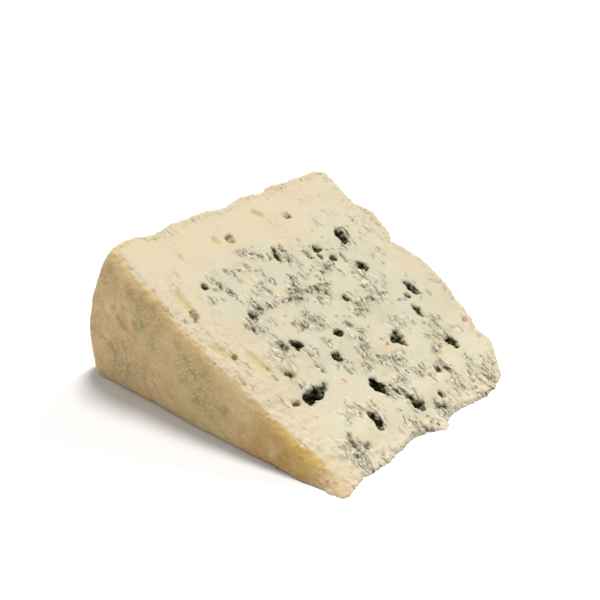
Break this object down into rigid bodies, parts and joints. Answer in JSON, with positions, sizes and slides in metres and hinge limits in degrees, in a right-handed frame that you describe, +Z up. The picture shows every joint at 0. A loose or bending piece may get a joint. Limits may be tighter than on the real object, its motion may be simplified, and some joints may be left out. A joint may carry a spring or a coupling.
{
  "type": "blue cheese wedge",
  "caption": "Wedge of blue-veined cheese cut from a drum, lying on one cut face, with rind on the rim and both ends, open eyes in the paste and a crumbled thin edge.",
  "frame": {"origin": "middle of the footprint's box, on the floor the wedge lies on", "axes": "+X along the drum's axis from the end seen in the picture to the other end, +Y from the thin edge to the rim, +Z up out of the lower cut face"},
  "size_m": [0.1, 0.1062, 0.0462],
  "materials": {
    "cheese": "cut cream paste with blue-green mould in the eyes, tan rind outside"
  },
  "bodies": {
    "root": {"cheese_wedge": "cheese"}
  },
  "joints": []
}
